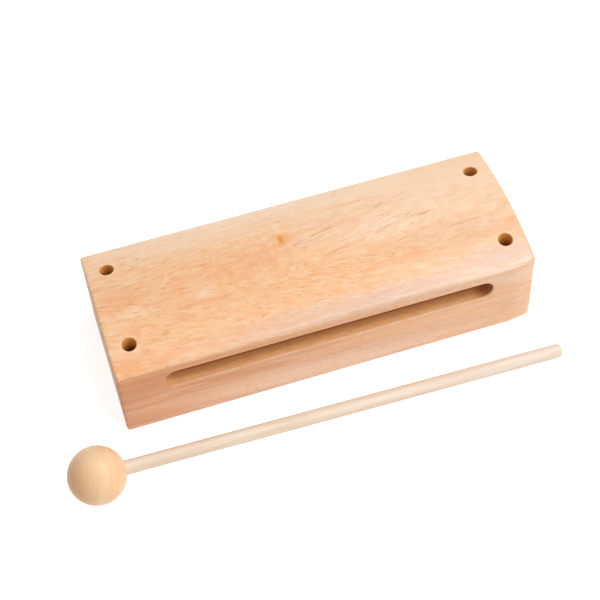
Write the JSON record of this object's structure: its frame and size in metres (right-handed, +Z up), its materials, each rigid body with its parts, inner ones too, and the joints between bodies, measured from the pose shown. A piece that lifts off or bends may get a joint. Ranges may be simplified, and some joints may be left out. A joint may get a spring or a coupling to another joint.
{
  "type": "woodblock with beater",
  "caption": "Crowned hardwood block with a long round-ended sound slot in its front and drilled corner holes, struck with a ball-ended wooden beater.",
  "frame": {"origin": "middle of the block's flat underside", "axes": "+X along the block's length, towards the end with the sanded corner; +Y from the slotted front face to the back; +Z up through the crowned striking face"},
  "size_m": [0.2249, 0.1079, 0.0451],
  "materials": {
    "block_wood": "satin lacquered rubberwood, straight open grain along the length",
    "head_wood": "satin turned hardwood",
    "stick_wood": "bare pale birch dowel"
  },
  "bodies": {
    "woodblock": {"block": "block_wood"},
    "beater": {"beater_head": "head_wood", "beater_stick": "stick_wood"}
  },
  "joints": [
    {"name": "beater_lift", "type": "slide", "parent": "woodblock", "child": "beater", "axis": [0, 0, 1], "range_m": [0, 0.12]}
  ]
}
